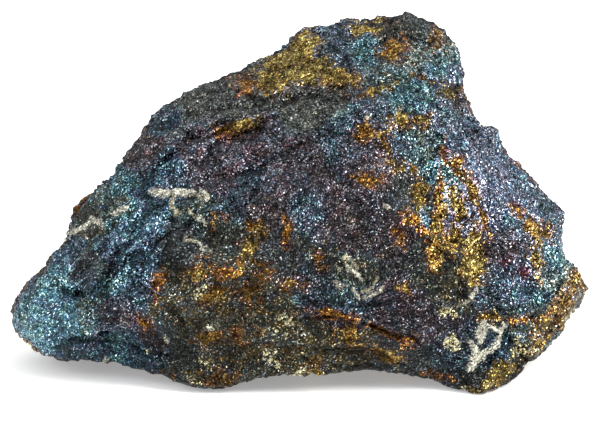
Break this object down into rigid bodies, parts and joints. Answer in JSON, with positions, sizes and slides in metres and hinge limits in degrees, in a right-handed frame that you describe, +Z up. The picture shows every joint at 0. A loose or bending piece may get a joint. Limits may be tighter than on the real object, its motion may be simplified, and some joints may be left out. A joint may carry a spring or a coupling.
{
  "type": "bornite specimen",
  "caption": "Broken lump of tarnished copper ore, peaked and flat-footed, with gold patches and pale veins.",
  "frame": {"origin": "on the floor, under the middle of the lump's bounding box", "axes": "+Z up, +X along the length to the right of the best face, -Y out of the best face"},
  "size_m": [0.12, 0.065, 0.0694],
  "materials": {
    "ore": "tarnished, half metallic, rough-grained"
  },
  "bodies": {
    "root": {"bornite_lump": "ore"}
  },
  "joints": []
}
